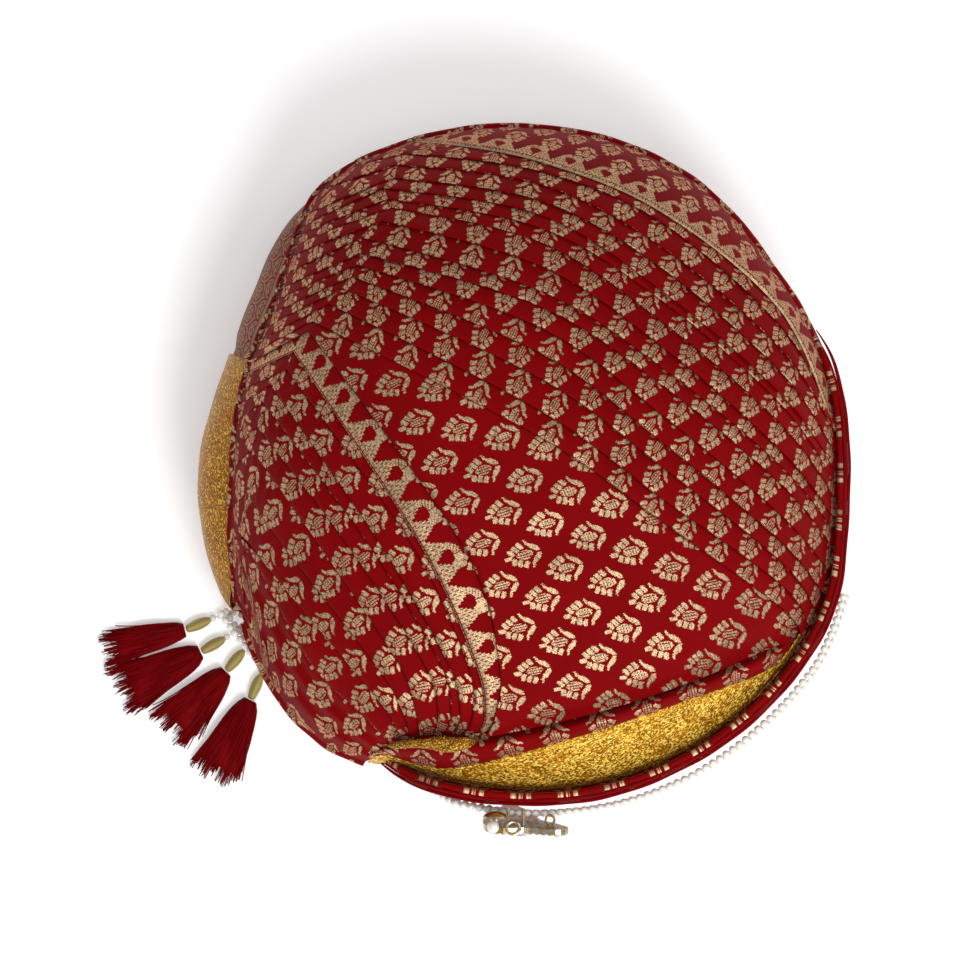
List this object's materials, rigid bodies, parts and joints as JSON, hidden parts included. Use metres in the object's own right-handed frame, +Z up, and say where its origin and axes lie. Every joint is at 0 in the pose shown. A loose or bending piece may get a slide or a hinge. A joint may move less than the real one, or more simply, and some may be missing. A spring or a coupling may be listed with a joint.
{
  "type": "tied turban pagri",
  "caption": "Ready-made groom's turban: flared wound wall, domed crown of lapped pleats, gold tissue front, pearl strings, brooch and tassels that lie beside it.",
  "frame": {"origin": "middle of the bounding box's base, on the surface that the turban stands on", "axes": "+Z up through the crown, -Y towards the front with the brooch, +X towards the wearer's left, which is the right of the picture"},
  "size_m": [0.3322, 0.3066, 0.1513],
  "materials": {
    "red_brocade": "crimson silk with woven dull-gold lotus butis",
    "rim_piping": "crimson folded edge with woven gold dashes",
    "gold_tissue": "glittering gold tissue",
    "zari_brocade": "dense dull-gold scroll brocade",
    "pearl": "nacreous, glossy",
    "brooch_metal": "silver-plated with clear stones, gold-toned back",
    "gold_thread": "wound metallic thread",
    "tassel_silk": "dark red silk strands"
  },
  "bodies": {
    "root": {"wall_wrap_1": "red_brocade", "wall_wrap_2": "red_brocade", "wall_wrap_3": "red_brocade", "wall_wrap_4": "red_brocade", "rim_fold_inner": "rim_piping", "rim_fold_outer": "rim_piping", "side_band_gold": "gold_tissue", "side_band_brocade": "zari_brocade", "front_tissue": "gold_tissue", "crown_outer_band": "red_brocade", "crown_back_pleats": "red_brocade", "crown_plain_panel": "red_brocade", "crown_front_pleats": "red_brocade", "crown_hem_roll": "red_brocade", "gold_loop": "gold_tissue", "pearl_strand_upper": "pearl", "pearl_strand_lower": "pearl", "brooch_plate": "brooch_metal", "brooch_pearl": "pearl", "tassel_string_1": "pearl", "tassel_bead_1": "gold_thread", "tassel_skirt_1": "tassel_silk", "tassel_string_2": "pearl", "tassel_bead_2": "gold_thread", "tassel_skirt_2": "tassel_silk", "tassel_string_3": "pearl", "tassel_bead_3": "gold_thread", "tassel_skirt_3": "tassel_silk", "tassel_string_4": "pearl", "tassel_bead_4": "gold_thread", "tassel_skirt_4": "tassel_silk"}
  },
  "joints": []
}
